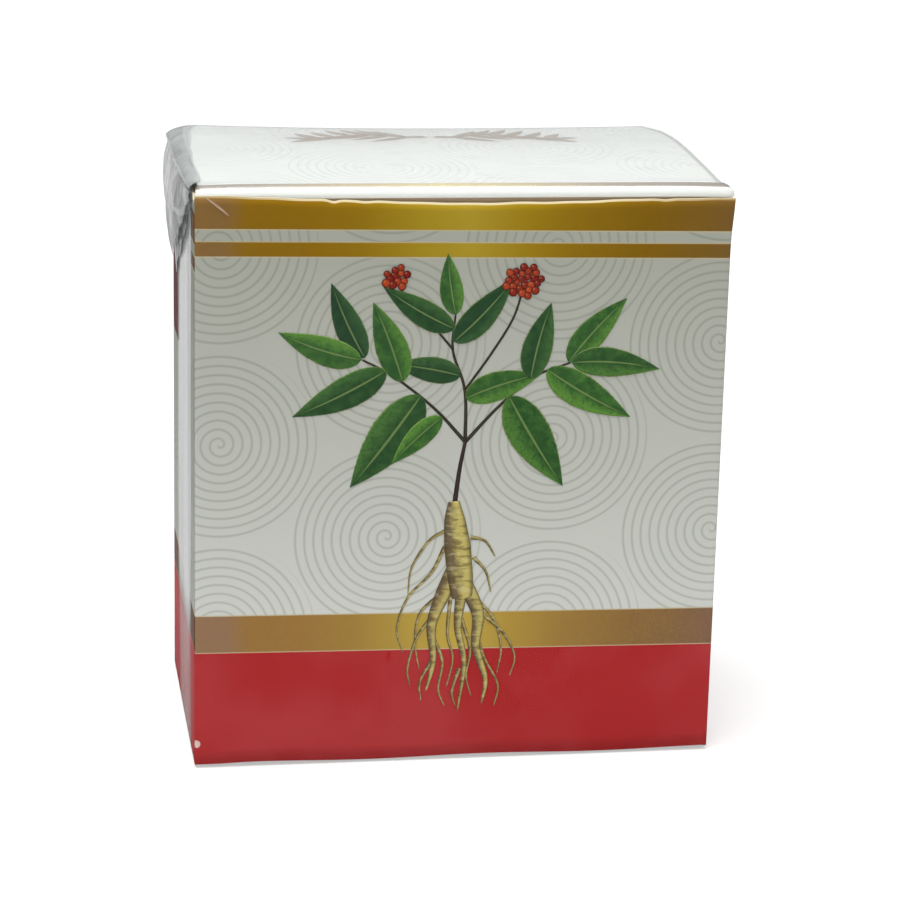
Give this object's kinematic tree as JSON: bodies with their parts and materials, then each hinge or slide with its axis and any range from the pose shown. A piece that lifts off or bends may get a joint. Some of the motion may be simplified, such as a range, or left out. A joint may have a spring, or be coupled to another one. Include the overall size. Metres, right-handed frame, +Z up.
{
  "type": "film-wrapped printed paperboard carton",
  "caption": "Small upright tuck-top paperboard carton in clear film, printed with bands and a plant picture, with a scored lid and a bag of dried roots inside.",
  "frame": {"origin": "on the surface the carton stands on, under the middle of its base", "axes": "+Z up along the height, the printed front faces -Y, +X to the right as one looks at the front"},
  "size_m": [0.0933, 0.0551, 0.1038],
  "materials": {
    "printed_board": "coated board, printed in red, gold and green on off-white",
    "plain_board": "uncoated board",
    "clear_film": "clear glossy film",
    "bag_film": "clear soft film",
    "dried_root": "dry and wrinkled"
  },
  "bodies": {
    "carton": {"carton_sleeve": "printed_board", "dust_flap_left": "plain_board", "dust_flap_right": "plain_board", "base_flap_outer": "plain_board", "base_flap_inner": "plain_board", "base_dust_flap_left": "plain_board", "base_dust_flap_right": "plain_board", "film_tray": "clear_film", "film_gather_side": "clear_film", "inner_bag": "bag_film", "ginseng_root_1": "dried_root", "ginseng_root_2": "dried_root", "ginseng_root_3": "dried_root", "ginseng_root_4": "dried_root", "ginseng_root_5": "dried_root"},
    "lid": {"carton_lid": "printed_board", "film_cap": "clear_film", "film_gather_lid": "clear_film"}
  },
  "joints": [
    {"name": "lid_hinge", "type": "hinge", "parent": "carton", "child": "lid", "pos_m": [0, 0.02705, 0.102], "axis": [-1, 0, 0], "range_deg": [0, 150]}
  ]
}
